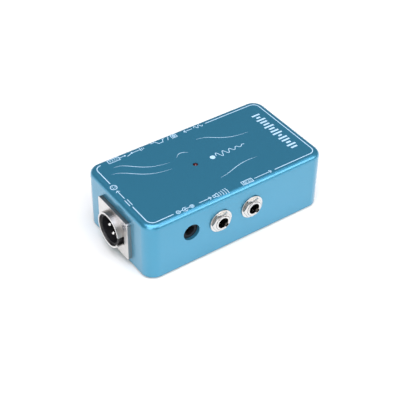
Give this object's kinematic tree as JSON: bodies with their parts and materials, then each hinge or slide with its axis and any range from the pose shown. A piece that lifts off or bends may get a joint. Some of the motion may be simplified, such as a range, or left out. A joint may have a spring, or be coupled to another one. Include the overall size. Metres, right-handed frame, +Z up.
{
  "type": "direct injection box",
  "caption": "Oblong metal direct injection box with a three-pin output on one end, jacks and a power inlet on the front, and a jack and slide switches on the rear.",
  "frame": {"origin": "on the plane that the rubber feet rest on, under the middle of the whole object's bounding box, output connector included; the enclosure's own middle is at x = +3 mm, y = 0", "axes": "+Z up through the lid, +X along the long side away from the output connector, +Y towards the rear wall with the line jack and the switches"},
  "size_m": [0.1276, 0.0718, 0.0385],
  "materials": {
    "shell_paint": "satin metallic teal enamel",
    "plate_paint": "satin metallic teal enamel",
    "plated_metal": "satin nickel plating",
    "nickel_hardware": "polished nickel plating",
    "steel_screws": "zinc-plated steel",
    "steel_frame": "zinc-plated sheet steel",
    "tinned_metal": "tinned leads",
    "black_plastic": "moulded black nylon",
    "lever_plastic": "moulded black acetal",
    "rubber": "matt black rubber",
    "led_red": "clear red epoxy",
    "brass_tags": "bright brass",
    "spring_bronze": "phosphor bronze",
    "board_laminate": "green solder mask on glass laminate",
    "phenolic": "brown phenolic board",
    "nylon": "natural nylon",
    "chip_plastic": "moulded epoxy",
    "capacitor_sleeve": "shrunk sleeve",
    "film_plastic": "dipped epoxy",
    "resistor_ceramic": "lacquered body",
    "wire_red": "PVC insulation",
    "wire_blue": "PVC insulation",
    "wire_grey": "PVC insulation"
  },
  "bodies": {
    "box": {"enclosure_shell": "shell_paint", "bottom_plate": "plate_paint", "bottom_screws": "steel_screws", "rubber_feet": "rubber", "led_lens": "led_red", "led_leads": "tinned_metal", "led_spacer": "black_plastic", "xlr_shell": "plated_metal", "xlr_insert": "black_plastic", "xlr_pins": "nickel_hardware", "xlr_screws": "steel_screws", "xlr_nuts": "steel_screws", "xlr_ground_tag": "brass_tags", "xlr_wires": "wire_red", "speaker_jack_bushing": "nickel_hardware", "speaker_jack_washer": "nickel_hardware", "speaker_jack_nut": "nickel_hardware", "speaker_jack_housing": "black_plastic", "speaker_jack_contacts": "spring_bronze", "amp_jack_bushing": "nickel_hardware", "amp_jack_washer": "nickel_hardware", "amp_jack_nut": "nickel_hardware", "amp_jack_housing": "black_plastic", "amp_jack_contacts": "spring_bronze", "line_jack_bushing": "nickel_hardware", "line_jack_washer": "nickel_hardware", "line_jack_nut": "nickel_hardware", "line_jack_housing": "black_plastic", "line_jack_contacts": "spring_bronze", "dc_inlet_body": "black_plastic", "dc_inlet_pin": "nickel_hardware", "dc_inlet_contacts": "brass_tags", "ground_switch_frame": "steel_frame", "ground_switch_base": "phenolic", "ground_switch_terminals": "tinned_metal", "pad_switch_frame": "steel_frame", "pad_switch_base": "phenolic", "pad_switch_terminals": "tinned_metal", "switch_screws": "steel_screws", "switch_wires": "wire_blue", "main_board": "board_laminate", "rear_board": "board_laminate", "board_supports": "nylon", "board_link_wires": "wire_grey", "op_amps": "chip_plastic", "op_amp_pins": "tinned_metal", "electrolytic_capacitors": "capacitor_sleeve", "film_capacitors": "film_plastic", "resistors": "resistor_ceramic"},
    "ground_switch": {"ground_switch_lever": "lever_plastic", "ground_switch_contact": "spring_bronze"},
    "pad_switch": {"pad_switch_lever": "lever_plastic", "pad_switch_contact": "spring_bronze"}
  },
  "joints": [
    {"name": "ground_switch_slide", "type": "slide", "parent": "box", "child": "ground_switch", "axis": [1, 0, 0], "range_m": [0, 0.004]},
    {"name": "pad_switch_slide", "type": "slide", "parent": "box", "child": "pad_switch", "axis": [1, 0, 0], "range_m": [0, 0.004]}
  ]
}
